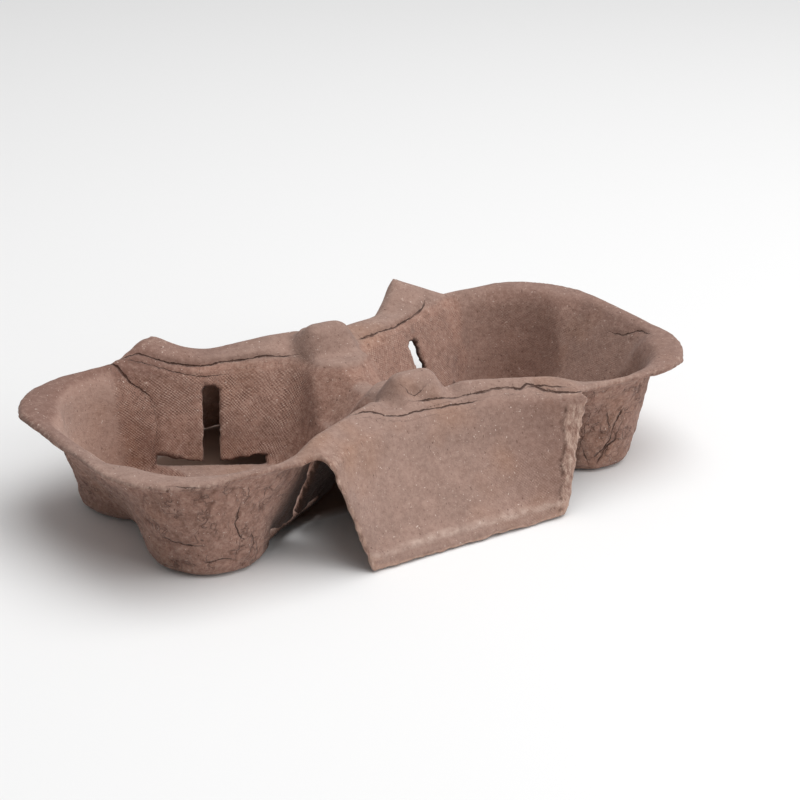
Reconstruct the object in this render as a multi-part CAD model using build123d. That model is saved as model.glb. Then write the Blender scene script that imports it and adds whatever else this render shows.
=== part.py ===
from build123d import *
import math
import os

# Two-cup carrier: one sheet of moulded pulp, 2 mm thick, pressed into two
# lobed pockets that hang from a flat rim, with a sloping panel on each long
# side, a raised knob behind each panel and a low saddle between the pockets.
# Millimetres, +Z up, long axis along X. The origin is on the table, midway
# between the pockets. The tray is the same on both sides of X = 0 and Y = 0.

# Driving dimensions
tray_length = 195.4
rim_width = 86.0
rim_corner_radius = 25.3
rim_height = 33.0
wall = 2.2

# Pocket floor and mouth, each a quarter outline (out along X, out along Y),
# taken where the floor is and where the rounded lip begins
floor_level = 4.5
lip_height = 3.0
lip_slope = 40.0
lip_step = 0.5
bridge_foot = (18.0, 7.7)
bridge_top = (11.0, 19.5)
slot_wall_foot = (54.1, 27.5)
slot_wall_top = (56.0, 38.3)
end_foot = (74.0, 13.0)
end_top = (90.5, 15.0)
floor_corner_radius = 5.0
mouth_corner_radius = 6.0

# Feet: leaning cones under the two outer corners of each pocket
foot_centre = (64.6, 19.8)
foot_radius = 15.7
foot_top_centre = (64.3, 16.0)
foot_top_radius = 24.3
foot_edge = 2.6

# T-shaped slot in each of the four walls that spring against a cup
stem_width = 4.6
stem_top = 25.5
slit_height = 2.7
slit_foot = (26.4, 12.3)

# Panels: hinged on a line that bows in towards the middle of the tray
panel_top_half = 43.5
panel_bottom_half = 33.0
panel_corner_reach = 47.4
panel_bow_reach = 32.0
panel_foot_reach = 54.3
panel_foot_bow = 0.2
hinge_bevel = 1.6

# Knobs on the rim and the saddle between the pockets
knob_length = 23.0
knob_width = 16.0
knob_top_width = 5.0
knob_reach = 22.5
knob_height = 8.0
knob_bevel = 1.5
saddle_depth = 5.5
saddle_crest_half = 2.5
saddle_slope = 42.0
saddle_floor_half = 3.5
saddle_mouth_half = 8.5

NODE = "cup_carrier"

deck_underside = rim_height - wall
lip_level = rim_height - lip_height
wall_draft = 18.0
wall_across = wall / math.cos(math.radians(wall_draft))
saddle_level = rim_height - saddle_depth
weld = wall / 2
clear = 1.0
knob_top = rim_height + knob_height


def between(low, high, share):
    """A point or number the given share of the way from low to high."""
    if isinstance(low, tuple):
        return tuple(a + (b - a) * share for a, b in zip(low, high))
    return low + (high - low) * share


def pocket_section(level, grow):
    """Plan of one pocket's middle at a height, grown outward by a distance."""
    share = (level - floor_level) / (lip_level - floor_level)
    quarter = [
        between(bridge_foot, bridge_top, share),
        between(slot_wall_foot, slot_wall_top, share),
        between((foot_centre[0], slot_wall_foot[1] + foot_edge),
                (foot_top_centre[0], slot_wall_top[1]), share),
        between(end_foot, end_top, share),
    ]
    outline = quarter + [(x, -y) for x, y in reversed(quarter)]
    corner = between(floor_corner_radius, mouth_corner_radius, max(share, 0.0))
    face = make_face(Polyline(*outline, close=True))
    face = fillet(face.vertices(), corner)
    if grow:
        face = offset(face, amount=grow)
    return Pos(0, 0, level) * face


def foot_at(level, grow):
    """Axis point and radius of a foot's leaning cone at a height."""
    share = level / deck_underside
    return between(foot_centre, foot_top_centre, share), between(foot_radius, foot_top_radius, share) + grow


def foot(bottom, top, grow, edge):
    """Both feet of one pocket: leaning cones, cut flat and bevelled twice at the sole."""
    lean = (foot_top_centre[0] - foot_centre[0], foot_top_centre[1] - foot_centre[1])
    length = math.hypot(*lean, deck_underside)
    flare = (foot_top_radius - foot_radius) / length
    (x, y), sole = foot_at(bottom, grow)
    outline = [(0, 0), (sole - edge, 0), (sole - edge / 4, edge / 3), (sole + edge, edge / 3 + 1.25 * edge),
               (2 * foot_top_radius, edge / 3 + 1.25 * edge), (2 * foot_top_radius, top - bottom),
               (0, top - bottom)]
    pair = []
    for side in (1, -1):
        below, above = foot_radius, length + foot_top_radius
        cone = Cone(foot_radius + grow - below * flare, foot_radius + grow + above * flare, below + above,
                    align=(Align.CENTER, Align.CENTER, Align.MIN))
        axis = Plane(origin=(foot_centre[0], side * foot_centre[1], 0),
                     z_dir=(lean[0], side * lean[1], deck_underside))
        sole_mould = revolve(Plane.XZ * make_face(Polyline(*outline, close=True)), Axis.Z)
        pair.append((axis * Pos(0, 0, -below) * cone) & (Pos(x, side * y, bottom) * sole_mould))
    return pair[0] + pair[1]


def foot_mouth(level, side, grow):
    """Circle that just holds a foot's leaning section at a height."""
    (x, y), radius = foot_at(level, grow)
    flare = (foot_top_radius - foot_radius) / deck_underside
    lean_x = (foot_top_centre[0] - foot_centre[0]) / deck_underside
    lean_y = (foot_top_centre[1] - foot_centre[1]) / deck_underside
    x += radius * flare * lean_x
    y += radius * flare * lean_y
    return Pos(x, side * y, level) * Circle(radius * (1 + lean_x ** 2 + lean_y ** 2))


def pocket_outside():
    middle = loft([pocket_section(floor_level - wall, wall_across),
                   pocket_section(deck_underside + weld, wall_across)], ruled=True)
    return middle + foot(0, deck_underside + weld, 0, foot_edge)


def pocket_inside():
    middle = loft([pocket_section(floor_level, 0), pocket_section(lip_level, 0)], ruled=True)
    feet = foot(wall, lip_level, -wall_across, foot_edge - weld)
    mouth = pocket_section(lip_level, lip_step)
    for side in (1, -1):
        mouth += foot_mouth(lip_level, side, -wall_across)
    lip = extrude(mouth, amount=lip_height + clear, taper=-lip_slope)
    return middle + feet + lip


def t_slots():
    """Stem and foot slit through both slotted walls of one pocket."""
    run_x = slot_wall_foot[0] - slit_foot[0]
    run_y = slot_wall_foot[1] - slit_foot[1]
    run = math.hypot(run_x, run_y)
    middle = between(slit_foot, slot_wall_foot, 0.5)
    draft = math.hypot(slot_wall_top[0] - slot_wall_foot[0], slot_wall_top[1] - slot_wall_foot[1])
    cuts = []
    for side in (1, -1):
        turn = side * math.degrees(math.atan2(run_y, run_x))
        frame = Pos(middle[0], side * middle[1], floor_level) * Rot(0, 0, turn)
        stem = Box(stem_width, draft + 4 * wall, stem_top - floor_level,
                   align=(Align.CENTER, Align.CENTER, Align.MIN))
        slit = Box(run, 4 * wall, slit_height, align=(Align.CENTER, Align.CENTER, Align.MIN))
        cuts.append(frame * Pos(0, side * draft / 2, 0) * stem)
        cuts.append(frame * slit)
    return cuts


def deck():
    """Flat rim, cut back to the bowed hinge line of each panel."""
    plate = RectangleRounded(tray_length, rim_width, rim_corner_radius)
    for side in (1, -1):
        bow = ThreePointArc((-panel_top_half, side * panel_corner_reach),
                            (0, side * panel_bow_reach),
                            (panel_top_half, side * panel_corner_reach))
        plate += make_face(bow + Polyline((panel_top_half, side * panel_corner_reach),
                                          (panel_top_half, 0), (-panel_top_half, 0),
                                          (-panel_top_half, side * panel_corner_reach)))
        plate -= make_face(bow + Line((panel_top_half, side * panel_corner_reach),
                                      (-panel_top_half, side * panel_corner_reach)))
    return Pos(0, 0, deck_underside) * extrude(plate, amount=wall)


def panel(side):
    """One sloping side panel, from the bowed hinge line to a straight lower edge."""
    def strip(half, corner, middle, level):
        inner = side * wall_across
        outside = ThreePointArc((-half, side * corner), (0, side * middle), (half, side * corner))
        inside = ThreePointArc((-half, side * corner - inner), (0, side * middle - inner),
                               (half, side * corner - inner))
        ends = [Line(outside @ 0, inside @ 0), Line(outside @ 1, inside @ 1)]
        return Pos(0, 0, level) * make_face([outside, inside] + ends)

    top = strip(panel_top_half, panel_corner_reach, panel_bow_reach, rim_height)
    bottom = strip(panel_bottom_half, panel_foot_reach, panel_foot_reach + panel_foot_bow, 0)
    return loft([top, bottom], ruled=True)


def knob(side, base, top, shrink):
    """Tapered oblong bump on the rim behind one panel, or the hollow under it."""
    plan = SlotOverall(knob_length - 2 * shrink, knob_width - 2 * shrink)
    narrowing = (knob_width - knob_top_width) / 2
    slope = math.degrees(math.atan2(narrowing, knob_height + weld))
    return Pos(0, side * knob_reach, base) * extrude(plan, amount=top - base, taper=slope)


def saddle(drop, reach):
    """Channel over the bridge, or its underside when dropped by the wall:
    level at its crest, then falling to each pocket."""
    top = rim_height + (clear if drop == 0 else 0)
    fall = math.tan(math.radians(saddle_slope))
    flare = (saddle_mouth_half - saddle_floor_half) / saddle_depth

    def section(x):
        level = saddle_level - drop - (abs(x) - saddle_crest_half) * fall
        floor_half = saddle_floor_half + drop / 2
        mouth_half = floor_half + (top - level) * flare
        corners = [(-mouth_half, top), (-floor_half, level), (floor_half, level), (mouth_half, top)]
        return Plane.YZ.offset(x) * make_face(Polyline(*corners, close=True))

    channel = extrude(section(saddle_crest_half), amount=-2 * saddle_crest_half)
    for side in (1, -1):
        channel += loft([section(side * saddle_crest_half), section(side * reach)], ruled=True)
    return channel


outside = deck()
inside = []
for end in (0, 180):
    outside += Rot(0, 0, end) * pocket_outside()
    inside.append(Rot(0, 0, end) * pocket_inside())
    inside += [Rot(0, 0, end) * cut for cut in t_slots()]
for side in (1, -1):
    outside += panel(side)
    bump = knob(side, rim_height - weld, knob_top, 0)
    outside += chamfer(bump.faces().sort_by(Axis.Z)[-1].edges(), knob_bevel)
    inside.append(knob(side, deck_underside - clear, knob_top - 2 * wall, wall))
outside += saddle(wall, bridge_top[0] + weld)
inside.append(saddle(0, bridge_top[0] + wall + clear))

carrier = outside
for cut in inside:
    carrier -= cut

arcs = carrier.edges().filter_by(GeomType.CIRCLE)
top_arcs = arcs.filter_by_position(Axis.Z, rim_height - weld, rim_height + weld)
hinges = [arc for arc in top_arcs if arc.length > 2 * panel_top_half]
carrier = chamfer(hinges, hinge_bevel)

os.makedirs("parts", exist_ok=True)
export_step(carrier, f"parts/{NODE}.step")
print(NODE, "volume", round(carrier.volume), "solids", len(carrier.solids()), "valid", carrier.is_valid)
print(carrier.bounding_box())
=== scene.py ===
"""Cup carrier of moulded pulp: the pressed sheet with its wrinkles, cracks and torn edges, and the stage."""

import math

import bmesh
import bpy
import numpy as np
from mathutils import Matrix, Vector, noise


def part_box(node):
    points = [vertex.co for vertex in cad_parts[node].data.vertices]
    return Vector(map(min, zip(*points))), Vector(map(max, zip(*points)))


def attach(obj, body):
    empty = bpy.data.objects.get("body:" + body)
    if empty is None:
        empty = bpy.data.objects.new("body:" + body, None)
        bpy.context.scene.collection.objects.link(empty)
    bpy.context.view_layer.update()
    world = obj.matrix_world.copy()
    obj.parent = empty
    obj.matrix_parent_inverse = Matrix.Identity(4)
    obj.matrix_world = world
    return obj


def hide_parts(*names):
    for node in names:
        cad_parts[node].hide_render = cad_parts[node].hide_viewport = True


bl_info = {
    "name": "Moulded Pulp Cup Carrier",
    "version": (1, 0, 0),
    "blender": (4, 5, 0),
    "location": "View3D > Sidebar > Cup Carrier",
    "description": "Dresses the pressed tray as worn moulded pulp and sets a plain stage around it",
    "category": "Object",
}

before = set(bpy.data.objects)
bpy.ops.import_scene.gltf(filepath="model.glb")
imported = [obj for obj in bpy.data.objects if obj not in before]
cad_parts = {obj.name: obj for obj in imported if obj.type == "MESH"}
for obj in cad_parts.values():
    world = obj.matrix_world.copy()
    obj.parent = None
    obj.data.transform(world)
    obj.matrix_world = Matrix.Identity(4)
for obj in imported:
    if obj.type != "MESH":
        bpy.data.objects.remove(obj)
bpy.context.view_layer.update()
TRAY_NODE = "cup_carrier"
TABLE_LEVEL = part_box(TRAY_NODE)[0].z

MM = 0.001

# Tray sizes that the wear follows, in millimetres
RIM_LEVEL = 33.0
RIM_HALF_LENGTH = 97.7
RIM_HALF_WIDTH = 43.0
RIM_CORNER = 25.3
POCKET_CENTRE = 52.0
PANEL_TOP_HALF = 43.5
PANEL_BOTTOM_HALF = 33.0
HINGE_MIDDLE = 32.0
HINGE_CORNER = 47.4
SLOT_FOOT = ((26.4, 12.3), (54.1, 27.5))
SLOT_LENGTH = math.dist(*SLOT_FOOT)
POCKET_FLOOR = 4.5
SLIT_HEIGHT = 2.7
SLIT_TOP = POCKET_FLOOR + SLIT_HEIGHT
STEM_TOP = 25.5
STEM_HALF = 2.3

# Wear seen on this one tray: how far each place has moved, in millimetres, and where the marks are
EAR_PULL = (1.8, 0.9)
RIGHT_EAR_PULL = (1.5, 0.8)
CORNER_FILL = 2.8
END_BULGE = 1.9
TIP_BULGE = 0.9
FRONT_CORNER_PUSH = 1.7
FOOT_FOLD = 0.5
RIM_WAVE = 0.6
FLAP_SAG = 2.5
KNOB_DENT = (-2.3, -27.8, 36.6)
KNOB_DENT_DEPTH = 1.3
FLANGE_STAIN = (-82.2, 31.8, 28.0)
SCREEN_END = 61.5
MOUTH_START = 58.0

# Cracks and creases as points on the sheet's face, then half width, depth and layer. Two that run
# close to each other are on different layers.
CRACKS = {
    "left_back_crease": (
        [(-57.5, 42.2, 33.0), (-54.5, 41.0, 33.0), (-51.0, 39.4, 32.8), (-48.0, 37.3, 32.0),
         (-44.5, 35.3, 31.3), (-41.0, 33.6, 31.0), (-37.1, 32.0, 31.0), (-34.7, 31.0, 31.2),
         (-32.2, 30.2, 31.6), (-28.9, 28.9, 31.5), (-24.9, 27.2, 31.6), (-21.0, 26.0, 32.3),
         (-16.4, 24.3, 32.6), (-11.5, 22.3, 32.8)], 0.15, 0.45, 0),
    "left_back_fold": (
        [(-55.0, 40.3, 32.0), (-50.6, 37.6, 30.8), (-44.5, 33.9, 29.5), (-38.5, 30.8, 28.6),
         (-31.0, 27.6, 28.6)], 0.06, 0.3, 2),
    "left_notch_crack": (
        [(-61.0, 43.0, 33.0), (-60.2, 41.3, 32.6), (-59.2, 40.3, 31.6), (-58.5, 39.3, 30.3),
         (-57.6, 38.1, 28.6), (-56.4, 37.1, 27.2), (-54.6, 36.2, 25.8), (-53.0, 35.0, 24.4),
         (-52.0, 33.8, 22.5)], 0.2, 0.5, 1),
    "left_lobe_crease": (
        [(-52.6, 34.4, 23.6), (-51.6, 33.0, 20.0), (-51.6, 31.8, 16.0), (-52.6, 30.8, 12.0),
         (-54.0, 30.1, 8.9)], 0.02, 0.35, 2),
    "right_back_crease": (
        [(12.6, 23.3, 32.8), (17.9, 24.9, 32.2), (23.7, 26.9, 31.8), (28.3, 28.3, 31.4),
         (35.0, 31.4, 31.4), (42.0, 34.6, 31.6), (48.0, 37.4, 32.2)], 0.18, 0.4, 0),
    "front_crack_left": (
        [(-24.5, -28.9, 33.0), (-20.0, -28.6, 33.0), (-16.2, -29.6, 33.0), (-13.0, -31.0, 33.0),
         (-9.5, -31.6, 32.7), (-6.0, -31.3, 32.7), (-1.9, -31.4, 32.7), (2.7, -31.9, 32.4),
         (6.8, -31.9, 32.5), (11.1, -33.0, 32.2), (15.5, -33.6, 32.2)], 0.18, 0.45, 0),
    "front_crack_right": (
        [(-2.7, -28.9, 34.4), (1.5, -29.1, 34.1), (7.0, -28.9, 33.2), (11.8, -29.7, 33.0),
         (16.6, -31.1, 33.0), (20.6, -31.6, 33.0), (25.3, -32.8, 33.0), (28.9, -35.0, 33.0),
         (31.6, -34.6, 33.0), (33.4, -36.4, 33.0), (35.0, -39.0, 32.6), (37.9, -41.2, 32.6),
         (41.7, -43.5, 32.6), (45.5, -43.6, 32.2)], 0.2, 0.55, 1),
    "front_crack_branch": (
        [(30.5, -35.6, 33.0), (34.0, -36.4, 33.0), (37.2, -38.9, 33.0), (41.0, -41.2, 33.0)],
        0.14, 0.3, 2),
    "knob_dimple": (
        [(-5.6, -26.4, 38.2), (-4.2, -27.6, 36.9), (-2.4, -28.2, 36.0), (-0.6, -27.9, 36.4),
         (0.9, -27.2, 37.2)], 0.06, 0.3, 2),
    "right_mouth_crack": (
        [(88.6, -3.0, 28.6), (89.6, -8.5, 29.2), (91.6, -11.5, 31.2), (92.0, -14.5, 31.8),
         (91.0, -19.5, 32.6)], 0.14, 0.3, 0),
    "front_rim_crease": (
        [(-85.5, -38.5, 32.8), (-82.1, -40.9, 32.4), (-78.4, -42.2, 31.9)], 0.1, 0.2, 1),
    "left_foot_fold": (
        [(-81.6, -24.5, 11.2), (-80.8, -26.6, 10.8), (-78.2, -30.3, 10.2), (-75.3, -33.0, 10.2),
         (-73.5, -34.0, 10.6)], 0.14, 0.4, 0),
    "left_foot_seam": (
        [(-65.4, -38.4, 22.0), (-66.4, -37.4, 16.2), (-64.8, -36.7, 12.0), (-62.5, -36.6, 10.6)],
        0.12, 0.35, 0),
    "left_foot_sole": (
        [(-74.0, -33.2, 5.0), (-72.3, -33.9, 5.3), (-68.9, -35.3, 5.9), (-65.3, -35.7, 4.7)],
        0.14, 0.4, 0),
    "left_foot_nick": ([(-61.2, -36.7, 12.7), (-59.4, -35.5, 8.3), (-60.7, -35.4, 5.1)], 0.12, 0.35, 0),
    "right_foot_crack": (
        [(66.0, -38.2, 20.8), (65.1, -37.7, 18.6), (63.6, -37.2, 15.5), (63.2, -36.7, 12.6),
         (62.8, -36.4, 9.8), (61.1, -35.8, 7.2), (58.9, -34.9, 5.6), (57.6, -34.3, 4.6)], 0.22, 0.55, 0),
    "right_foot_branch": ([(59.6, -37.6, 20.6), (61.0, -37.2, 16.9), (62.4, -36.9, 13.8)], 0.16, 0.4, 1),
    "right_foot_split": (
        [(66.8, -37.4, 16.4), (65.7, -36.9, 13.1), (65.0, -36.5, 10.2), (61.9, -36.0, 8.0),
         (60.0, -35.1, 4.6), (59.5, -34.6, 2.2)], 0.18, 0.4, 2),
    "right_foot_sole": ([(55.0, -33.0, 8.4), (55.6, -33.5, 6.6), (57.2, -33.6, 3.2)], 0.16, 0.35, 1),
}
CRACK_LAYERS = 3
CRACK_REACH = 4.0
FEWEST_VERTICES = 1000

# What each vertex tells the material, three numbers to an attribute
VERTEX_MASKS = {
    "sheet": ("upper", "wall", "torn"),
    "crinkle": ("valley", "under", "steep"),
    "screen": ("along", "height", "printed"),
    "edges": ("curled", "shaded", "seam"),
    "bands": ("lobe", "fold", "painted_underside_shade"),
    "marks": ("stain", "painted_panel_light"),
    "crack_0": ("gap_0", "strength_0", "width_0"),
    "crack_1": ("gap_1", "strength_1", "width_1"),
    "crack_2": ("gap_2", "strength_2", "width_2"),
}

# Noise patterns of the pulp: feature size in millimetres, detail, roughness, how much finer the
# pattern is along each axis, its turn, and the band of the noise in use with what it becomes
PATTERNS = {
    "jag": (2.2, 3.0, 0.65, None, None, (0.25, 0.75, -0.3, 0.3)),
    "ragged": (3.5, 2.0, 0.6, None, None, (0.3, 0.7, 0.5, 1.5)),
    "faded": (5.0, 2.0, 0.6, None, None, (0.36, 0.56, 0.45, 0.92)),
    "wobble": (6.0, 2.0, 0.5, None, None, (0.3, 0.7, -0.5, 0.5)),
    "print_wear": (1.7, 3.0, 0.7, None, None, (0.38, 0.6, 0.1, 1.1)),
    "crease_wear": (6.0, 2.0, 0.5, None, None, (0.45, 0.6, 0.0, 1.0)),
    "mottle": (9.0, 4.0, 0.65, None, None, (0.33, 0.67, 0.0, 1.0)),
    "tint": (22.0, 2.0, 0.6, None, None, (0.53, 0.75, 0.0, 0.45)),
    "fold_highlight_breakup": (4.0, 3.0, 0.6, None, None, (0.4, 0.6, 0.15, 0.6)),
    "pale_cloud": (1.6, 5.0, 0.8, None, None, (0.5, 0.7, 0.0, 0.6)),
    "dark_cloud": (1.6, 5.0, 0.8, None, None, (0.5, 0.3, 0.0, 0.65)),
    "pale_fibre": (1.1, 2.0, 0.6, (1.0, 1.0, 2.4), (0.0, 0.0, 0.0), (0.69, 0.75, 0.0, 0.8)),
    "pale_chip": (1.4, 2.0, 0.6, (2.6, 1.0, 1.0), (0.3, 0.6, 0.9), (0.70, 0.76, 0.0, 0.8)),
    "dark_speck": (1.4, 2.0, 0.6, (1.8, 1.0, 1.0), (0.0, 0.4, 0.7), (0.66, 0.74, 0.0, 0.75)),
    "torn_pale": (1.3, 4.0, 0.75, (1.0, 1.0, 0.35), (0.0, 0.35, 0.0), (0.5, 0.68, 0.0, 0.75)),
    "torn_dark": (1.3, 4.0, 0.75, (1.0, 1.0, 0.35), (0.0, 0.35, 0.0), (0.5, 0.36, 0.0, 0.6)),
    "torn_relief": (1.3, 4.0, 0.75, (1.0, 1.0, 0.35), (0.0, 0.35, 0.0), None),
    "seam_shade_breakup": (2.0, 3.0, 0.7, None, None, (0.4, 0.55, 0.2, 0.75)),
    "crease_long": (8.5, 3.0, 0.6, (1.0, 1.0, 0.6), (0.4, 0.2, 0.0), None),
    "crease_short": (6.0, 3.0, 0.6, (0.7, 0.7, 1.3), (0.0, 0.5, 0.3), None),
    "lumps": (3.5, 3.0, 0.6, None, None, None),
    "fibres": (0.9, 4.0, 0.75, None, None, None),
    "matted": (1.8, 3.0, 0.65, (1.0, 1.6, 2.2), (0.0, 0.0, 0.0), None),
}
CREASE_WIDTH = 0.02

# How far the mottling darkens each face's colour
DARKER_PRESSED, DARKER_POCKET, DARKER_BACK = 0.83, 0.74, 0.70

# Stage, in metres. The camera is in degrees and millimetres, as fitted to the tray's outline in an
# 800 pixel wide photograph, and its lens in pixels of that photograph.
FLOOR_HALF = 4.0
FLOOR_GAP = 0.0002
# Painted shadow on the floor under the tray: half length, middle and half width of each patch
UNDER_TRAY_SHADOW_PATCHES = ((0.058, 0.015, 0.032), (0.040, 0.026, 0.030))
KEY_BOX = ((0.25, -0.1, 1.1), (0.0, 0.0, 0.0), 1.2)
FILL_BOX = ((0.45, -0.95, 0.6), (0.0, 0.0, 0.02), 0.8)
WORLD_STRENGTH = 0.32
CAMERA_AZIMUTH, CAMERA_ELEVATION, CAMERA_ROLL = -37.08, 22.97, 2.4
CAMERA_AIM = (30.59, -8.0, 20.0)
CAMERA_DISTANCE = 677.08
PHOTO_WIDTH = 800
FOCAL_PIXELS = 2286.35
CENTRE_PIXEL = 467.24
SENSOR_WIDTH = 36


def srgb(code):
    """Linear colour, with alpha, of an sRGB hex value such as 8A6A5C."""
    channels = [int(code[i:i + 2], 16) / 255 for i in (0, 2, 4)]
    return tuple(c / 12.92 if c <= 0.04045 else ((c + 0.055) / 1.055) ** 2.4 for c in channels) + (1.0,)


def ramp(low, high, values):
    """Smooth 0 to 1 as values go from low to high; reversed where low is the larger. Products of ramps
    mark out a place on the tray, so their ends are mostly places in millimetres."""
    t = np.clip((values - low) / (high - low), 0.0, 1.0)
    return t * t * (3 - 2 * t)


def grain(points, size, shift=0.0):
    """Perlin noise at points in millimetres; size is the width of a feature, or one for each axis."""
    places = points / np.asarray(size, float) + shift
    return np.array([noise.noise(place) for place in places.tolist()])


def read_points(mesh):
    """Vertex places in millimetres and their normals."""
    places = np.empty(len(mesh.vertices) * 3)
    mesh.vertices.foreach_get("co", places)
    normals = np.empty(len(mesh.vertices) * 3)
    mesh.vertex_normals.foreach_get("vector", normals)
    return places.reshape(-1, 3) / MM, normals.reshape(-1, 3)


def write_points(mesh, points):
    """Move the vertices to places in millimetres."""
    mesh.vertices.foreach_set("co", (points * MM).ravel())
    mesh.update()


def store(mesh, masks):
    """Keep the named masks on the vertices, as VERTEX_MASKS groups them."""
    for name, parts in VERTEX_MASKS.items():
        values = np.zeros((len(mesh.vertices), 3))
        for column, part in enumerate(parts):
            values[:, column] = masks[part]
        layer = mesh.attributes.new(name, "FLOAT_VECTOR", "POINT")
        layer.data.foreach_set("vector", values.ravel())


def hinge_reach(x):
    """How far out the hinge line of a panel lies at a place along the tray."""
    sag = HINGE_CORNER - HINGE_MIDDLE
    radius = (PANEL_TOP_HALF ** 2 + sag ** 2) / (2 * sag)
    return HINGE_MIDDLE + radius - np.sqrt(radius ** 2 - np.minimum(np.abs(x), PANEL_TOP_HALF) ** 2)


def rim_gap(x, y):
    """Distance in from the rim's outer edge; in the middle of the tray, half the rim's width."""
    corner_x = np.maximum(np.abs(x) - (RIM_HALF_LENGTH - RIM_CORNER), 0)
    corner_y = np.maximum(np.abs(y) - (RIM_HALF_WIDTH - RIM_CORNER), 0)
    inner = (corner_x == 0) & (corner_y == 0)
    return np.where(inner, RIM_HALF_WIDTH, RIM_CORNER - np.hypot(corner_x, corner_y))


def slot_distance(points):
    """How far along and how far off the foot line of the nearest slotted wall."""
    x, y = np.abs(points[:, 0]), np.abs(points[:, 1])
    (x0, y0), (x1, y1) = SLOT_FOOT
    ux, uy = (x1 - x0) / SLOT_LENGTH, (y1 - y0) / SLOT_LENGTH
    along = (x - x0) * ux + (y - y0) * uy
    off = np.abs((x - x0) * -uy + (y - y0) * ux)
    return along, off


def panel_place(points):
    """Share of a vertex on a panel, and its distance in from the panel's side edge."""
    x, y, z = points.T
    drop = np.clip((RIM_LEVEL - z) / RIM_LEVEL, 0, 1)
    half = PANEL_TOP_HALF + (PANEL_BOTTOM_HALF - PANEL_TOP_HALF) * drop
    on_panel = ramp(0.0, 2.0, np.abs(y) - hinge_reach(x) + 1.5) * ramp(half + 3.5, half + 1.5, np.abs(x))
    return on_panel, half - np.abs(x)


def strip_width(z):
    """Width of the curled strip at one end of a panel, narrower towards the foot."""
    return 2.6 + 2.4 * np.clip(z / RIM_LEVEL, 0, 1)


class TrayShape(bpy.types.PropertyGroup):
    voxel: bpy.props.FloatProperty(
        name="Grid", description="Edge length of the remeshed sheet", default=0.00094, min=0.0005, unit="LENGTH")
    rounding: bpy.props.IntProperty(
        name="Rounding", description="Passes that soften pressed corners", default=4)
    unevenness: bpy.props.FloatProperty(
        name="Unevenness", description="How far broad waves lift the sheet", default=0.0005, unit="LENGTH")
    ear_lift: bpy.props.FloatProperty(
        name="Ear Lift", description="How far the back panel's corners have sprung up", default=0.0032,
        unit="LENGTH")
    strip_lift: bpy.props.FloatProperty(
        name="Strip Lift", description="How far the rim beside the knobs has risen", default=0.0024,
        unit="LENGTH")
    dish: bpy.props.FloatProperty(
        name="Panel Dish", description="How far the panels have sunk in between their edges", default=0.0013,
        unit="LENGTH")
    curl: bpy.props.FloatProperty(
        name="Panel Curl", description="How far one end of each panel curls back", default=0.0012,
        unit="LENGTH")
    crinkle: bpy.props.FloatProperty(
        name="Crinkle", description="Depth of the wrinkles on the rough underside", default=0.0005,
        unit="LENGTH")
    tear: bpy.props.FloatProperty(
        name="Torn Edge", description="How ragged the panels' cut edges are", default=0.0005, unit="LENGTH")


class PulpFinish(bpy.types.PropertyGroup):
    screen_pitch: bpy.props.FloatProperty(
        name="Screen Pitch", description="Spacing of the wire screen's print", default=0.00066, unit="LENGTH")
    pressed_colour: bpy.props.FloatVectorProperty(
        name="Pressed Face", description="Colour of the smooth flat faces", default=srgb("9C8074")[:3],
        subtype="COLOR", min=0.0, max=1.0)
    pocket_colour: bpy.props.FloatVectorProperty(
        name="Pocket Walls", description="Colour of the screened pocket walls", default=srgb("A37F70")[:3],
        subtype="COLOR", min=0.0, max=1.0)
    back_colour: bpy.props.FloatVectorProperty(
        name="Rough Face", description="Colour of the rough underside", default=srgb("A68172")[:3],
        subtype="COLOR", min=0.0, max=1.0)
    fleck: bpy.props.FloatProperty(
        name="Flecks", description="Strength of the pale fibres and dark specks", default=1.0,
        subtype="FACTOR")


class StudioSetup(bpy.types.PropertyGroup):
    key_power: bpy.props.FloatProperty(
        name="Key Light", description="Power of the overhead soft box", default=13.5, unit="POWER")
    fill_power: bpy.props.FloatProperty(
        name="Fill Light", description="Power of the front soft box", default=4.8, unit="POWER")


def soften(mesh, *zones):
    """Smooth each zone of vertices for its number of passes."""
    soft = bmesh.new()
    soft.from_mesh(mesh)
    for zone, passes in zones:
        chosen = [vert for vert, inside in zip(soft.verts, zone) if inside]
        for _ in range(passes):
            bmesh.ops.smooth_vert(soft, verts=chosen, factor=0.5, use_axis_x=True, use_axis_y=True,
                                  use_axis_z=True)
    soft.to_mesh(mesh)
    soft.free()


def even_sheet(voxel):
    """The tray's own solid, remeshed on an even grid."""
    shell = bmesh.new()
    shell.from_mesh(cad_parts[TRAY_NODE].data)
    bmesh.ops.remove_doubles(shell, verts=shell.verts, dist=1e-6)
    rough = bpy.data.meshes.new("pulp_tray_rough")
    shell.to_mesh(rough)
    shell.free()
    tray = bpy.data.objects.new("pulp_tray", rough)
    bpy.context.scene.collection.objects.link(tray)
    remesh = tray.modifiers.new("even_grid", "REMESH")
    remesh.mode = "VOXEL"
    remesh.voxel_size = voxel
    remesh.use_smooth_shade = True
    bpy.context.view_layer.update()
    evaluated = tray.evaluated_get(bpy.context.evaluated_depsgraph_get())
    mesh = bpy.data.meshes.new_from_object(evaluated)
    mesh.name = "pulp_tray"
    tray.modifiers.clear()
    tray.data = mesh
    bpy.data.meshes.remove(rough)
    return tray


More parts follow.
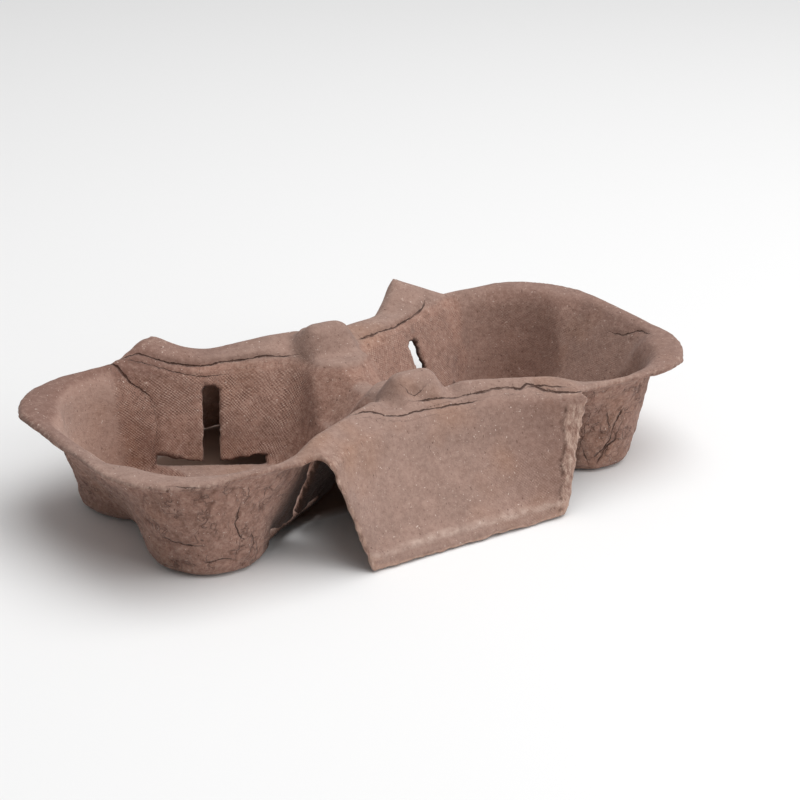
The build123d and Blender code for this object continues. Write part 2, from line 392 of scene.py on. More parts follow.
def round_corners(mesh, rounding):
    """Soften the pressed corners, most of all at the pockets' mouths, and keep those of the slots."""
    points, _ = read_points(mesh)
    x, y, z = points.T
    along, off = slot_distance(points)
    gap = np.abs(along - SLOT_LENGTH / 2)
    slit = (off < 5) & (gap < SLOT_LENGTH / 2 + 2.5) & (z < SLIT_TOP + 2.3)
    stem = (off < 14) & (gap < STEM_HALF + 2.2) & (z < STEM_TOP + 2.0)
    mouth = (rim_gap(x, y) > 2.5) & (z > 22)
    everywhere = np.ones(len(points), bool)
    soften(mesh, (everywhere, 1), (~(slit | stem), rounding), (mouth & (x < -MOUTH_START), 5 * rounding),
           (mouth & (x > MOUTH_START), 2 * rounding))


def wave_sheet(points, shape):
    """Broad waves, none at the feet."""
    x, y, z = points.T
    low = ramp(2.0, 16.0, z)
    waves = grain(points, 46.0, 3.1) + 0.5 * grain(points, 21.0, 7.7)
    z += waves * shape.unevenness / MM * 1.4 * low
    y += grain(points, 38.0, 12.3) * shape.unevenness / MM * low


def fill_corners(points):
    """Pulp that fills the notch between the rim and each back panel corner, and some of the front right."""
    x, y, z = points.T
    web = np.clip((57.5 - np.abs(x)) / 11.5, 0, 1) ** 1.4 * ramp(37.0, 45.0, np.abs(x))
    web *= ramp(35.0, 42.5, np.abs(y)) * ramp(47.6, 43.5, np.abs(y)) * ramp(27.0, 30.5, z)
    y += np.sign(y) * CORNER_FILL * web * np.where(y > 0, 1.0, 0.4 * (x > 0))


def spring_ears(points, shape, high):
    """Corners of the back panel, sprung up and pulled towards the left."""
    x, y, z = points.T
    ear = shape.ear_lift / MM
    left_ear = np.hypot(x + PANEL_TOP_HALF + 2.5, y - HINGE_CORNER)
    z += ear * ramp(19.0, 2.0, left_ear) + ramp(9.0, 0.0, left_ear) * high
    pull = ramp(18.0, 2.0, left_ear) * high
    x -= EAR_PULL[0] * pull
    y += EAR_PULL[1] * pull
    right_ear = np.hypot(x - PANEL_TOP_HALF + 1.0, y - HINGE_CORNER + 1.0)
    lift = np.clip(1.0 - right_ear / 15.0, 0, 1) * ramp(33.0, 41.0, y) * high
    z += 2.1 * ear * lift
    x -= RIGHT_EAR_PULL[0] * lift
    y += RIGHT_EAR_PULL[1] * lift


def bulge_left_end(points):
    """The left end pushed out, at the lobe behind and at the rim."""
    x, y, z = points.T
    side = ramp(8.0, 22.0, z) * ramp(34.5, 25.0, z) * ramp(-14.0, 4.0, y)
    x -= END_BULGE * ramp(-68.0, -86.0, x) * side
    x -= TIP_BULGE * ramp(-82.0, -96.0, x) * ramp(29.0, 31.5, z)


def raise_strips(points, shape, high):
    """The strips of rim beside the knobs, risen where the panels pull on them."""
    x, y, z = points.T
    strip = shape.strip_lift / MM
    inward = ramp(-1.0, -8.0, np.abs(y) - hinge_reach(x)) * ramp(17.0, 21.0, np.abs(y))
    z += strip * inward * (y < 0) * ramp(9.0, 16.0, np.abs(x)) * ramp(50.0, 38.0, np.abs(x)) * high
    hinge = ramp(22.0, 32.0, y) * high * ramp(38.5, 36.0, z)
    z += strip * hinge * (1.4 * ramp(-37.0, -12.0, x) * ramp(8.0, -6.0, x)
                          + 0.5 * ramp(32.0, 14.0, x) * ramp(6.0, 13.0, x))


def bend_panels(points, shape):
    """Panels that are dished, curl back at one end and fold outward near the foot."""
    x, y, z = points.T
    on_panel, side = panel_place(points)
    dish = ramp(2.5, 9.0, z) * ramp(32.0, 21.0, z) * ramp(1.0, 12.0, side)
    y -= np.sign(y) * on_panel * shape.dish / MM * dish
    curled = on_panel * (x * y < 0) * ramp(31.0, 25.0, z)
    bend = np.clip((strip_width(z) - side) / 4.0, 0, 1.3)
    y -= np.sign(y) * curled * bend * shape.curl / MM
    front_right = on_panel * (y < 0) * (x > 0)
    x += FRONT_CORNER_PUSH * front_right * ramp(6.0, 0.0, side) * ramp(-9.0, 15.0, z) * ramp(35.0, 31.0, z)
    y += np.sign(y) * on_panel * FOOT_FOLD * ramp(3.0, 4.6, z) * ramp(6.5, 4.8, z)


def bend_tray(points, shape):
    """Broad moves of the whole sheet, from drying and handling."""
    high = ramp(14.0, 28.0, points[:, 2])
    wave_sheet(points, shape)
    fill_corners(points)
    spring_ears(points, shape, high)
    bulge_left_end(points)
    raise_strips(points, shape, high)
    bend_panels(points, shape)
    return points


def tear_panels(points, tear):
    """Ragged side and foot edges of the panels, rougher at the curled end."""
    x, y, z = points.T
    on_panel, side = panel_place(points)
    side_edge = on_panel * ramp(3.0, 0.5, side) * ramp(32.5, 28.0, z)
    slow, fast = grain(points, 9.0, 20.4), grain(points, 2.6, 5.2)
    rough_side = 0.8 + 1.6 * (x * y < 0)
    x += np.sign(x) * side_edge * (slow * 0.7 + fast * 0.5) * tear * rough_side
    y += side_edge * fast * tear * (rough_side - 1.0)
    nick = ramp(0.15, 0.45, grain(points, (5.0, 30.0, 30.0), 41.0)) * 0.5
    z += on_panel * ramp(3.5, 0.5, z) * (0.3 + slow * 0.7 + fast * 0.7 + nick) * tear


def wave_rim(points):
    """An uneven outer edge of the rim."""
    x, y, z = points.T
    outer = ramp(1.6, 0.2, rim_gap(x, y)) * ramp(29.5, 31.0, z)
    wavy = grain(points, 12.0, 31.0) * 0.8 + grain(points, 3.6, 2.0) * 0.3
    away = np.stack([x / RIM_HALF_LENGTH, y / RIM_HALF_WIDTH], 1)
    away /= np.linalg.norm(away, axis=1)[:, None] + 1e-9
    x += away[:, 0] * outer * wavy * RIM_WAVE
    y += away[:, 1] * outer * wavy * RIM_WAVE
    z += outer * grain(points, 16.0, 9.0) * 0.7


def wear_slots(points):
    """Square ends for the foot slits, and flaps over them that sag towards the stem."""
    x, y, z = points.T
    along, off = slot_distance(points)
    end = np.minimum(along, SLOT_LENGTH - along)
    height = np.abs(z - POCKET_FLOOR - SLIT_HEIGHT / 2)
    square = ramp(0.3, 1.2, height) * ramp(2.6, 1.4, height) * ramp(2.4, 0.8, end) * ramp(-1.4, -0.2, end)
    square *= (off < 4) * np.where(along < SLOT_LENGTH / 2, -1.0, 1.0)
    (x0, y0), (x1, y1) = SLOT_FOOT
    x += np.sign(x) * (x1 - x0) / SLOT_LENGTH * square
    y += np.sign(y) * (y1 - y0) / SLOT_LENGTH * square
    flap = ramp(5.0, 3.6, off) * ramp(15.0, 7.6, z) * ramp(5.4, 6.8, z) * ramp(-0.4, 1.2, end)
    sag = ramp(0.0, SLOT_LENGTH / 2, end)
    z -= flap * (FLAP_SAG * sag ** 0.7 - 0.3 + grain(points, 2.6, 14.0) * 0.7)


def wear_edges(points, shape):
    """Ragged panel edges, an uneven rim and torn flaps over the slots."""
    tear_panels(points, shape.tear / MM)
    wave_rim(points)
    wear_slots(points)
    return points


def crack_field(points, normals, route):
    """Vertices near a crack, their signed distance across it and its strength there."""
    route = np.array(route, float)
    middle = (route.min(0) + route.max(0)) / 2
    half = (route.max(0) - route.min(0)) / 2
    near = np.where((np.abs(points - middle) < half + CRACK_REACH).all(1))[0]
    places, facing = points[near], normals[near]
    steps = route[1:] - route[:-1]
    lengths = np.linalg.norm(steps, axis=1)
    starts = np.concatenate([[0.0], np.cumsum(lengths)])
    along = ((places[:, None] - route[None, :-1]) * steps[None]).sum(2) / lengths ** 2
    along = np.clip(along, 0, 1)
    feet = route[None, :-1] + along[..., None] * steps[None]
    gaps = np.linalg.norm(places[:, None] - feet, axis=2)
    nearest = gaps.argmin(1)
    rows = np.arange(len(near))
    run = starts[nearest] + along[rows, nearest] * lengths[nearest]
    direction = steps[nearest] / lengths[nearest][:, None]
    signed = ((places - feet[rows, nearest]) * np.cross(facing, direction)).sum(1)
    line_normals = facing[np.linalg.norm(places[:, None] - route[None], axis=2).argmin(0)]
    same_side = (facing * line_normals[nearest]).sum(1) > 0.25
    strength = ramp(2.6, 1.5, gaps[rows, nearest]) * same_side
    fade = ramp(0.0, 2.5, run) * ramp(starts[-1], starts[-1] - 3.5, run)
    return near, signed, strength * (0.15 + 0.85 * fade)


def lay_cracks(points, normals):
    """For each layer: signed distance from the nearest crack, strength, half width and depth."""
    count = len(points)
    layers = [[np.full(count, 9.0), np.zeros(count), np.full(count, 0.2), np.zeros(count)]
              for _ in range(CRACK_LAYERS)]
    for route, width, depth, layer in CRACKS.values():
        near, signed, strength = crack_field(points, normals, route)
        stronger = strength > layers[layer][1][near]
        for values, new in zip(layers[layer], (signed[stronger], strength[stronger], width, depth)):
            values[near[stronger]] = new
    return layers


def face_masks(points, normals):
    """Which face of the sheet a vertex is on, and which region of the tray it belongs to."""
    x, y, z = points.T
    upper = ramp(-0.04, 0.16, normals[:, 2])
    panel = ramp(-0.6, 1.2, np.abs(y) - hinge_reach(x)) * ramp(45.5, 44.0, np.abs(x)) * ramp(33.2, 32.0, z)
    wall = upper * ramp(0.93, 0.75, normals[:, 2]) * ramp(32.4, 30.6, z) * (1 - panel)
    return upper, panel, wall


def walk_round(points, upper, wall):
    """Distance round a pocket's wall, measured at the middle of its height."""
    x, y, z = points.T
    out = np.abs(x) - POCKET_CENTRE
    turn = np.arctan2(y, out)
    ring = (upper > 0.8) & (z > 12) & (z < 18) & (wall > 0.5)
    ring_turn, ring_reach = turn[ring], np.hypot(out[ring], y[ring])
    bins = np.linspace(-math.pi, math.pi, 121)
    reach = np.full(len(bins) - 1, np.nan)
    for index, (start, end) in enumerate(zip(bins[:-1], bins[1:])):
        inside = (ring_turn >= start) & (ring_turn < end)
        if inside.any():
            reach[index] = np.median(ring_reach[inside])
    reach = np.where(np.isnan(reach), np.nanmedian(reach), reach)
    middles = (bins[:-1] + bins[1:]) / 2
    edge = np.stack([reach * np.cos(middles), reach * np.sin(middles)], 1)
    walk = np.concatenate([[0.0], np.cumsum(np.linalg.norm(edge[1:] - edge[:-1], axis=1))])
    return np.interp(turn, middles, walk)


def print_masks(points, upper, panel, wall):
    """Which face a vertex is on, its place along and up the pocket wall for the wire screen's print,
    where the print shows, and the plain lobe beyond its end, whose paler colour is partly smooth pulp and
    partly painted light on the left end only."""
    x, y, z = points.T
    ends = ramp(SCREEN_END + 1.5, SCREEN_END - 1.5, np.abs(x) + grain(points, 8.0, 50.0) * 3)
    ends = np.maximum(ends, 0.3 * (x > 0))
    shows = wall * ramp(31.0, 28.0, z) * ramp(9.0, 16.0, np.hypot(np.abs(x) - 14, y)) * ends
    shows *= 0.55 + 0.45 * ramp(-0.4, 0.3, grain(points, 14.0, 40.0))
    on_panel = panel * upper * ramp(-10.0, 30.0, x * np.sign(-y)) * ramp(24.0, 14.0, z) * 0.3
    return {
        "along": np.where(panel > 0.5, x, walk_round(points, upper, wall)),
        "height": z * 1.06,
        "printed": np.maximum(shows, on_panel),
        "upper": upper,
        "wall": wall * ends,
        "lobe": wall * ramp(SCREEN_END - 2.0, SCREEN_END + 3.0, -x),
    }


def edge_masks(points, upper):
    """Torn and rubbed edges, also of the back walls' slots, and the curled strip at one end of each panel
    with its seam."""
    x, y, z = points.T
    on_panel, side = panel_place(points)
    rubbed = ramp(1.8, 0.4, rim_gap(x, y)) * ramp(29.5, 31.0, z) * 0.4
    torn = on_panel * np.maximum(ramp(2.0, 0.3, side), ramp(1.8, 0.3, z))
    along, off = slot_distance(points)
    gap = np.abs(along - SLOT_LENGTH / 2)
    flap_foot = SLIT_TOP + 0.7 - 2.2 * ramp(SLOT_LENGTH / 2, 0.0, gap) ** 0.6
    flap = ramp(0.0, -0.9, z - flap_foot) * (gap < SLOT_LENGTH / 2) * (z > 4.9)
    stem = ramp(STEM_HALF + 1.0, STEM_HALF + 0.3, gap) * (z < 26) * (z > 5.6) * 0.8
    flap_edge = np.maximum(flap, stem) * (off < 9) * (np.abs(x) < 56) * (y > 0) * upper
    torn = np.maximum(torn, 0.9 * flap_edge)
    inward = side - strip_width(z) + grain(points, 3.0, 60.0)
    curled = on_panel * (x * y < 0) * ramp(31.5, 29.0, z)
    return {
        "torn": np.maximum(rubbed, torn),
        "curled": curled * ramp(0.2, -0.4, inward),
        "seam": curled * ramp(0.7, 0.2, np.abs(inward)),
    }


def shade_masks(points, upper, panel):
    """Places darker or paler than the pulp around them. The stain is the pulp's own. The pale band along the
    panels' fold is a painted highlight. The others follow the photograph's light, not the pulp: the duller
    rim and panel ends (shaded), the dark underside between the pockets (hidden) and the lit inner faces of
    the panels (lining)."""
    x, y, z = points.T
    # Painted shade on the panels' far ends and on the rim at both ends
    end = 0.6 * panel * ramp(4.0, 40.0, x * np.sign(-y)) * ramp(2.0, 8.0, z)
    far = ramp(-34.0, -52.0, x) * ramp(-25.0, 25.0, y) + 0.6 * ramp(60.0, 80.0, x)
    far = np.maximum(far, 0.6 * ramp(-8.0, -24.0, x) * ramp(29.0, 35.0, y))
    # Painted shade on the underside between the pockets
    painted_underside_shade = np.where(y < 0, 1.2 * ramp(0.9, 0.5, upper), 1 - upper)
    spot = np.exp(-(((points - FLANGE_STAIN) / (1.5, 1.5, 1.8)) ** 2).sum(1))
    return {
        "shaded": np.maximum(end, far * upper * ramp(27.0, 31.0, z)),
        "painted_underside_shade": painted_underside_shade * ramp(60.0, 50.0, np.abs(x)) * ramp(35.0, 29.0, np.abs(y)),
        # Painted highlight along the panels' fold
        "fold": panel * ramp(3.0, 4.0, z) * ramp(5.8, 4.6, z),
        "stain": 1.2 * spot * ramp(-0.3, 0.3, grain(points, 1.6, 3.0)),
        # Painted light on the panels' inner faces
        "painted_panel_light": (1 - upper) * ramp(-1.0, 1.0, np.abs(y) - 33.0) * (np.abs(x) < 44) * (z < 31),
    }


def crack_masks(cracks):
    """What the material needs of each layer of cracks."""
    masks = {}
    for index, (signed, strength, width, _) in enumerate(cracks):
        masks.update({f"gap_{index}": signed, f"strength_{index}": strength, f"width_{index}": width})
    return masks


def wrinkle_sheet(points, normals, upper, cracks, crinkle):
    """Press in the rough face's wrinkles, fine lumps and the cracks' grooves; return the wrinkle masks."""
    under = 1 - upper
    steep = ramp(0.9, 0.55, np.abs(normals[:, 2]))
    tilted = points @ np.array([[1, 0, 0.35], [0, 1, 0.2], [-0.5, 0, 1]])
    broad = np.abs(grain(tilted, (5.2, 5.2, 7.5), 4.0))
    narrow = np.abs(grain(tilted, (2.8, 2.8, 4.2), 8.0))
    across = np.abs(grain(tilted, (7.0, 7.0, 3.2), 15.0))
    patches = ramp(-0.3, 0.3, grain(points, 11.0, 17.0))
    ridges = 0.9 * broad + 0.55 * narrow + 0.5 * across
    valley = np.maximum.reduce([ramp(0.09, 0.0, broad), 0.7 * ramp(0.07, 0.0, narrow),
                                0.8 * ramp(0.08, 0.0, across)])
    valley *= (0.25 + 0.75 * patches) * under * steep
    lumps = grain(points, 6.0, 22.0) * 0.3 + grain(points, 2.6, 26.0) * 0.16
    push = lumps * (0.3 + 0.5 * under)
    push -= KNOB_DENT_DEPTH * np.exp(-((points - KNOB_DENT) ** 2).sum(1) / 5.0)
    push += under * steep * (ridges - 0.35) * crinkle / MM - valley * crinkle / MM * 0.5
    for signed, strength, width, depth in cracks:
        groove = np.exp(-(signed / (width + 0.55)) ** 2)
        raised = np.exp(-((signed - 1.1) / 0.8) ** 2)
        push += strength * depth * (raised * 0.4 - groove)
    points += normals * push[:, None]
    points[:, 2] = np.maximum(points[:, 2], 0.0)
    return {"valley": valley, "under": under, "steep": steep}


def add(tree, kind, inputs=None, out=0, **settings):
    """Add a shader node with its settings, set or link its inputs, and return one of its outputs."""
    node = tree.nodes.new(kind)
    for name, value in settings.items():
        setattr(node, name, value)
    for name, value in (inputs or {}).items():
        if isinstance(value, bpy.types.NodeSocket):
            tree.links.new(value, node.inputs[name])
        else:
            node.inputs[name].default_value = value
    return node.outputs[out] if node.outputs else None


def read_masks(tree):
    """Every vertex mask, by name."""
    masks = {}
    for name, parts in VERTEX_MASKS.items():
        vector = add(tree, "ShaderNodeAttribute", out="Vector", attribute_name=name)
        masks.update(zip(parts, add(tree, "ShaderNodeSeparateXYZ", {0: vector}).node.outputs))
    return masks


def lay_patterns(tree):
    """Every noise pattern, by name, in the object's own coordinates."""
    place = add(tree, "ShaderNodeTexCoord", out="Object")
    patterns = {}
    for name, (size, detail, rough, stretch, turn, band) in PATTERNS.items():
        vector = place
        if stretch:
            vector = add(tree, "ShaderNodeMapping", {"Vector": place, "Scale": stretch, "Rotation": turn})
        patterns[name] = add(tree, "ShaderNodeTexNoise", {
            "Vector": vector, "Scale": 1 / (size * MM), "Detail": detail, "Roughness": rough})
        if band:
            patterns[name] = add(tree, "ShaderNodeMapRange", dict(enumerate((patterns[name], *band))))
    return patterns


def crack_lines(tree, masks, patterns):
    """Dark where the distance from a crack, made jagged by noise, is less than its half width."""
    crack = 0.0
    for index in range(CRACK_LAYERS):
        gap, strength, width = (masks[part] for part in VERTEX_MASKS[f"crack_{index}"])
        gap = add(tree, "ShaderNodeMath", {0: gap, 1: patterns["jag"]}, operation="ADD")
        gap = add(tree, "ShaderNodeMath", {0: gap}, operation="ABSOLUTE")
        edge = add(tree, "ShaderNodeMath", {0: width, 1: 1.8}, operation="MULTIPLY")
        edge = add(tree, "ShaderNodeMath", {0: edge, 1: patterns["ragged"]}, operation="MULTIPLY")
        share = add(tree, "ShaderNodeMath", {0: gap, 1: edge}, operation="DIVIDE")
        line = add(tree, "ShaderNodeMath", {0: 1.0, 1: share}, operation="SUBTRACT", use_clamp=True)
        line = add(tree, "ShaderNodeMath", {0: line, 1: strength}, operation="MULTIPLY")
        crack = add(tree, "ShaderNodeMath", {0: crack, 1: line}, operation="MAXIMUM")
    return add(tree, "ShaderNodeMath", {0: crack, 1: 1.5}, operation="MULTIPLY", use_clamp=True)


def screen_wires(tree, masks, patterns, pitch):
    """Print of the wire screen: two sets of diagonal wires, one pressed in deeper than the other.
    A real screen has a wire about every 0.5 mm, too fine to show here, so it is drawn coarser."""
    wires = 0.0
    for way, weight in (("ADD", 0.6), ("SUBTRACT", 0.4)):
        diagonal = add(tree, "ShaderNodeMath", {0: masks["along"], 1: masks["height"]}, operation=way)
        diagonal = add(tree, "ShaderNodeMath", {0: diagonal, 1: patterns["wobble"]}, operation="ADD")
        turns = add(tree, "ShaderNodeMath", {0: diagonal, 1: 2 * math.pi / pitch * 0.707}, operation="MULTIPLY")
        wave = add(tree, "ShaderNodeMath", {0: turns}, operation="SINE")
        wires = add(tree, "ShaderNodeMath", {0: wave, 1: weight, 2: wires}, operation="MULTIPLY_ADD")
    shown = add(tree, "ShaderNodeMath", {0: masks["printed"], 1: patterns["print_wear"]}, operation="MULTIPLY")
    return add(tree, "ShaderNodeMath", {0: wires, 1: shown}, operation="MULTIPLY")


def fine_creases(tree, masks, patterns):
    """Thin wandering lines on the unpressed face, where a noise crosses its middle."""
    crease = 0.0
    for name in ("crease_long", "crease_short"):
        gap = add(tree, "ShaderNodeMath", {0: patterns[name], 1: 0.5}, operation="SUBTRACT")
        gap = add(tree, "ShaderNodeMath", {0: gap}, operation="ABSOLUTE")
        line = add(tree, "ShaderNodeMapRange", {0: gap, 1: CREASE_WIDTH, 2: CREASE_WIDTH * 0.15})
        crease = add(tree, "ShaderNodeMath", {0: crease, 1: line}, operation="MAXIMUM")
    for factor in (masks["under"], masks["steep"], patterns["crease_wear"]):
        crease = add(tree, "ShaderNodeMath", {0: crease, 1: factor}, operation="MULTIPLY")
    return crease


def face_colour(tree, finish, masks, patterns):
    """Mottled colour of the pressed faces, the pocket walls and the rough face."""
    faces = []
    for paler, depth in ((finish.pressed_colour, DARKER_PRESSED), (finish.pocket_colour, DARKER_POCKET),
                         (finish.back_colour, DARKER_BACK)):
        darker = tuple(channel * depth for channel in paler) + (1.0,)
        faces.append(add(tree, "ShaderNodeMix", {0: patterns["mottle"], 6: darker, 7: tuple(paler) + (1.0,)},
                         out=2, data_type="RGBA"))
    pressed, pocket, back = faces
    inner = add(tree, "ShaderNodeMix", {0: masks["wall"], 6: pressed, 7: pocket}, out=2, data_type="RGBA")
    return add(tree, "ShaderNodeMix", {0: masks["upper"], 6: back, 7: inner}, out=2, data_type="RGBA")


def pulp_colour(tree, finish, masks, patterns, features):
    """The faces' colour with each layer over it: a hex colour, then the shares that make its strength."""
    smooth = add(tree, "ShaderNodeMath", {0: 1.0, 1: masks["wall"]}, operation="SUBTRACT")
    smooth = add(tree, "ShaderNodeMath", {0: smooth, 1: masks["upper"]}, operation="MULTIPLY")
    clouded = add(tree, "ShaderNodeMapRange", {0: smooth, 3: 1.0, 4: 0.55})
    pale = add(tree, "ShaderNodeMath", {0: patterns["pale_fibre"], 1: patterns["pale_chip"]}, operation="MAXIMUM")
    fibrous = add(tree, "ShaderNodeMath", {0: masks["torn"], 1: masks["curled"]}, operation="MAXIMUM")
    # The screen print's grooves take painted shade and its ridges a painted highlight
    grooves = add(tree, "ShaderNodeMapRange", {0: features["wires"], 1: 0.05, 2: -0.8, 4: 0.5})
    ridges = add(tree, "ShaderNodeMapRange", {0: features["wires"], 1: 0.05, 2: 0.8, 4: 0.42})
    layers = (
        ("9A7259", patterns["tint"]),
        # painted shade on the duller rim ends and panel ends
        ("7E5F54", masks["shaded"], 0.9),
        # paler smooth pulp plus painted light on the left end's lobe wall
        ("BC9C8E", masks["lobe"], 0.5),
        # painted highlight along the panels' fold
        ("CDB5A8", masks["fold"], patterns["fold_highlight_breakup"]),
        ("BC9F91", patterns["pale_cloud"], clouded),
        ("664639", patterns["dark_cloud"], clouded),
        ("DCC8BD", pale, finish.fleck),
        ("553A30", patterns["dark_speck"], finish.fleck),
        ("BFA08F", masks["curled"], 0.35),
        ("D0B6A6", fibrous, patterns["torn_pale"]),
        ("6B4638", fibrous, patterns["torn_dark"]),
        # painted shade in the wrinkles' valleys
        ("5C3D33", masks["valley"], 0.45),
        # painted shade in the fine creases
        ("4A2F27", features["crease"], 0.4),
        # painted shade in the screen print's grooves, then a painted highlight on its ridges
        ("5B3D34", grooves),
        ("C3A89B", ridges),
        # painted shade along the curled strip's crease
        ("4A3128", masks["seam"], patterns["seam_shade_breakup"]),
        # painted shade on the underside between the pockets
        ("3A2820", masks["painted_underside_shade"], 0.75),
        # painted light on the panels' inner faces
        ("C4A392", masks["painted_panel_light"], 0.6),
        ("6E4536", masks["stain"], 0.7),
        ("422A21", features["crack"], patterns["faded"]),
    )
    colour = face_colour(tree, finish, masks, patterns)
    for code, strength, *shares in layers:
        for share in shares:
            strength = add(tree, "ShaderNodeMath", {0: strength, 1: share}, operation="MULTIPLY")
        colour = add(tree, "ShaderNodeMix", {0: strength, 6: colour, 7: srgb(code)}, out=2, data_type="RGBA")
    return colour


def pulp_relief(tree, masks, patterns, features):
    """Height of the surface: soft lumps, fibres, the screen's print, torn strips, creases and cracks."""
    matting = add(tree, "ShaderNodeMath", {0: masks["under"], 1: 0.7, 2: 0.25}, operation="MULTIPLY_ADD")
    tatters = add(tree, "ShaderNodeMath", {0: masks["curled"], 1: 1.5}, operation="MULTIPLY")
    shallow = add(tree, "ShaderNodeMath", {0: features["crease"], 1: 0.6}, operation="MULTIPLY")
    sunken = add(tree, "ShaderNodeMath", {0: features["crack"], 1: shallow}, operation="MAXIMUM")
    relief = 0.0
    for height, weight in ((patterns["lumps"], 0.3), (patterns["fibres"], 0.5), (patterns["matted"], matting),
                           (features["wires"], 0.2), (patterns["torn_relief"], tatters), (sunken, -1.2)):
        relief = add(tree, "ShaderNodeMath", {0: height, 1: weight, 2: relief}, operation="MULTIPLY_ADD")
    return relief


def moulded_pulp(finish):
    """Moulded pulp of mixed waste paper, formed and dried on a wire screen. It has no coating, so the eye
    gets a dry, matt, cloudy brown with no highlight, short pale fibres and dark specks, a woven print on
    the walls that lay on the screen, a wrinkled rough side, and cracks that look dark and ragged."""
    material = bpy.data.materials.new("moulded_pulp")
    material.use_nodes = True
    tree = material.node_tree
    tree.nodes.clear()
    masks = read_masks(tree)
    patterns = lay_patterns(tree)
    features = {
        "crack": crack_lines(tree, masks, patterns),
        "wires": screen_wires(tree, masks, patterns, finish.screen_pitch / MM),
        "crease": fine_creases(tree, masks, patterns),
    }
    relief = pulp_relief(tree, masks, patterns, features)
    surface = add(tree, "ShaderNodeBsdfPrincipled", {
        "Base Color": pulp_colour(tree, finish, masks, patterns, features),
        "Normal": add(tree, "ShaderNodeBump", {"Height": relief, "Strength": 0.85, "Distance": 0.0005}),
        "Roughness": 0.93, "IOR": 1.45, "Specular IOR Level": 0.2, "Sheen Weight": 0.1, "Sheen Roughness": 0.6,
    })
    add(tree, "ShaderNodeOutputMaterial", {"Surface": surface})
    return material


class CARRIER_OT_pulp_tray(bpy.types.Operator):
    """Press the pulp tray: an even sheet, bent, worn, wrinkled, cracked and coloured"""
    bl_idname = "carrier.pulp_tray"
    bl_label = "Pulp Tray"

    def execute(self, context):
        shape = context.scene.tray_shape
        tray = even_sheet(shape.voxel)
        mesh = tray.data
        round_corners(mesh, shape.rounding)
        points, normals = read_points(mesh)
        if len(points) < FEWEST_VERTICES:
            raise RuntimeError("the sheet was not remeshed")
        # Cracks are laid out before the sheet is bent, so that none breaks where it is lifted
        cracks = lay_cracks(points, normals)
        corner = np.hypot(np.abs(points[:, 0]) - PANEL_TOP_HALF, np.abs(points[:, 1]) - HINGE_CORNER) < 4.0
        corner &= points[:, 2] > 28
        write_points(mesh, bend_tray(points, shape))
        points, _ = read_points(mesh)
        write_points(mesh, wear_edges(points, shape))
        soften(mesh, (corner, 4))
        points, normals = read_points(mesh)
        upper, panel, wall = face_masks(points, normals)
        masks = {**print_masks(points, upper, panel, wall), **edge_masks(points, upper),
                 **shade_masks(points, upper, panel), **crack_masks(cracks)}
        masks.update(wrinkle_sheet(points, normals, upper, cracks, shape.crinkle))
        store(mesh, masks)
        write_points(mesh, points)
        mesh.polygons.foreach_set("use_smooth", np.ones(len(mesh.polygons), bool))
        mesh.materials.clear()
        mesh.materials.append(moulded_pulp(context.scene.pulp_finish))
        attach(tray, "root")
        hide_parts(TRAY_NODE)
        print("pulp_tray", len(mesh.vertices), "vertices", len(mesh.polygons), "faces")
        return {"FINISHED"}


def white_board():
    """Matt painted board, near white with no highlight. Under the tray a painted shadow with soft edges
    darkens it to brown, the colour seen on the floor through the slots."""
    material = bpy.data.materials.new("white_board")
    material.use_nodes = True
    tree = material.node_tree
    place = add(tree, "ShaderNodeTexCoord", out="Object")
    clear = 1.0
    for half_x, middle_y, half_y in UNDER_TRAY_SHADOW_PATCHES:
        reach = add(tree, "ShaderNodeVectorMath", {
            0: place, 1: (1 / half_x, 1 / half_y, 0.0), 2: (0.0, -middle_y / half_y, 0.0)},
            operation="MULTIPLY_ADD")
        total = 0.0
        for part in add(tree, "ShaderNodeSeparateXYZ", {0: reach}).node.outputs[:2]:
            power = add(tree, "ShaderNodeMath", {0: part, 1: 6.0}, operation="POWER")
            total = add(tree, "ShaderNodeMath", {0: total, 1: power})
        outside = add(tree, "ShaderNodeMapRange", {0: total, 1: 0.5, 2: 1.4})
        clear = add(tree, "ShaderNodeMath", {0: clear, 1: outside}, operation="MINIMUM")
    colour = add(tree, "ShaderNodeMix", {0: clear, 6: srgb("A08272"), 7: srgb("E8E8E8")}, out=2, data_type="RGBA")
    surface = tree.nodes["Principled BSDF"]
    tree.links.new(colour, surface.inputs["Base Color"])
    surface.inputs["Roughness"].default_value = 0.85
    return material


def pale_floor():
    """Large flat floor just below the tray's feet."""
    sheet = bmesh.new()
    level = Matrix.Translation((0, 0, TABLE_LEVEL - FLOOR_GAP))
    bmesh.ops.create_grid(sheet, x_segments=1, y_segments=1, size=FLOOR_HALF, matrix=level)
    mesh = bpy.data.meshes.new("floor")
    sheet.to_mesh(mesh)
    sheet.free()
    mesh.materials.append(white_board())
    floor = bpy.data.objects.new("floor", mesh)
    bpy.context.scene.collection.objects.link(floor)
    return floor


def soft_box(name, place, aim, size, power):
    """Large square light at place that points to aim."""
    light = bpy.data.lights.new(name, "AREA")
    light.shape = "SQUARE"
    light.size = size
    light.energy = power
    lamp = bpy.data.objects.new(name, light)
    lamp.location = place
    lamp.rotation_euler = (Vector(aim) - Vector(place)).to_track_quat("-Z", "Y").to_euler()
    bpy.context.scene.collection.objects.link(lamp)


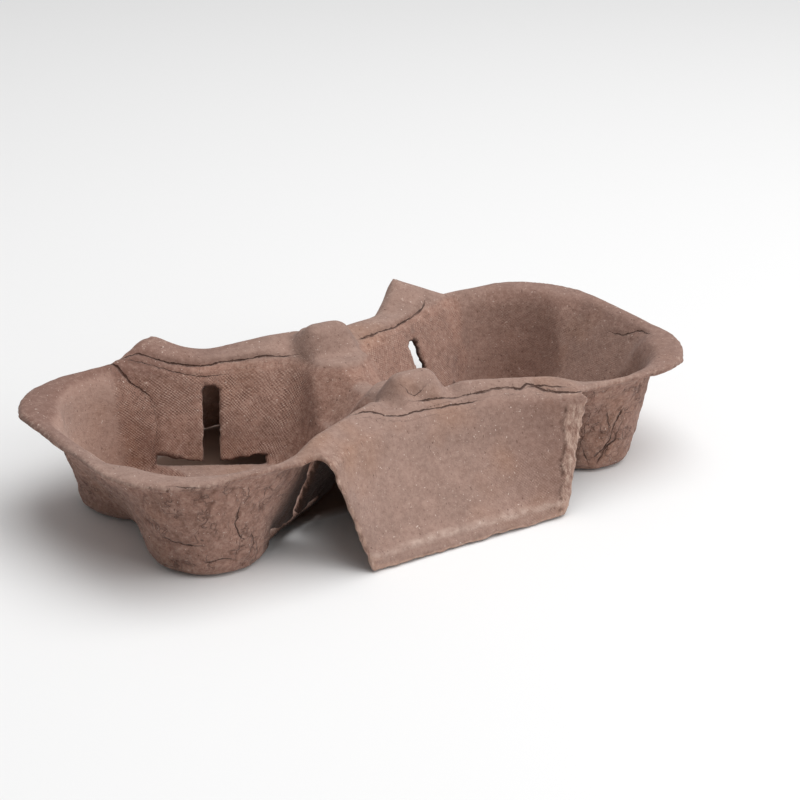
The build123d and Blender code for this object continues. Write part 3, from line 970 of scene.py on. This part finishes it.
def photo_camera():
    """Camera at the photograph's angle, fitted to the tray's outline."""
    azimuth, elevation, roll = (math.radians(a) for a in (CAMERA_AZIMUTH, CAMERA_ELEVATION, CAMERA_ROLL))
    back = Vector((math.sin(azimuth) * math.cos(elevation), -math.cos(azimuth) * math.cos(elevation),
                   math.sin(elevation)))
    level = Vector((math.cos(azimuth), math.sin(azimuth), 0.0))
    upright = back.cross(level)
    right = level * math.cos(roll) + upright * math.sin(roll)
    up = upright * math.cos(roll) - level * math.sin(roll)
    place = Vector(CAMERA_AIM) * MM + back * CAMERA_DISTANCE * MM
    camera = bpy.data.objects.new("photo_camera", bpy.data.cameras.new("photo_camera"))
    camera.data.lens = FOCAL_PIXELS / PHOTO_WIDTH * SENSOR_WIDTH
    camera.data.shift_x = (PHOTO_WIDTH / 2 - CENTRE_PIXEL) / PHOTO_WIDTH
    camera.data.clip_start = 0.01
    camera.matrix_world = Matrix.Translation(place) @ Matrix((right, up, back)).transposed().to_4x4()
    bpy.context.scene.collection.objects.link(camera)
    bpy.context.scene.camera = camera


class CARRIER_OT_stage(bpy.types.Operator):
    """Set the pale floor, the soft lights and the camera"""
    bl_idname = "carrier.stage"
    bl_label = "Stage"

    def execute(self, context):
        studio = context.scene.studio_setup
        floor = pale_floor()
        soft_box("overhead_soft_box", *KEY_BOX, studio.key_power)
        soft_box("front_soft_box", *FILL_BOX, studio.fill_power)
        world = bpy.data.worlds.new("studio_white")
        context.scene.world = world
        world.use_nodes = True
        background = world.node_tree.nodes["Background"]
        background.inputs["Color"].default_value = (1.0, 1.0, 1.0, 1.0)
        background.inputs["Strength"].default_value = WORLD_STRENGTH
        context.scene.view_settings.view_transform = "Standard"
        photo_camera()
        return {"FINISHED"}


class CARRIER_PT_panel(bpy.types.Panel):
    """Lists the carrier's pieces and sizes"""
    bl_idname = "CARRIER_PT_panel"
    bl_label = "Cup Carrier"
    bl_space_type = "VIEW_3D"
    bl_region_type = "UI"
    bl_category = "Cup Carrier"

    def draw(self, context):
        for group in (context.scene.tray_shape, context.scene.pulp_finish, context.scene.studio_setup):
            box = self.layout.box()
            for name in type(group).__annotations__:
                box.prop(group, name)
        self.layout.operator("carrier.pulp_tray")
        self.layout.operator("carrier.stage")


CLASSES = (TrayShape, PulpFinish, StudioSetup, CARRIER_OT_pulp_tray, CARRIER_OT_stage, CARRIER_PT_panel)


def register():
    for cls in CLASSES:
        bpy.utils.register_class(cls)
    bpy.types.Scene.tray_shape = bpy.props.PointerProperty(type=TrayShape)
    bpy.types.Scene.pulp_finish = bpy.props.PointerProperty(type=PulpFinish)
    bpy.types.Scene.studio_setup = bpy.props.PointerProperty(type=StudioSetup)


def unregister():
    del bpy.types.Scene.tray_shape
    del bpy.types.Scene.pulp_finish
    del bpy.types.Scene.studio_setup
    for cls in reversed(CLASSES):
        bpy.utils.unregister_class(cls)


def main():
    register()
    bpy.ops.carrier.pulp_tray()
    bpy.ops.carrier.stage()


if __name__ == "__main__":
    main()
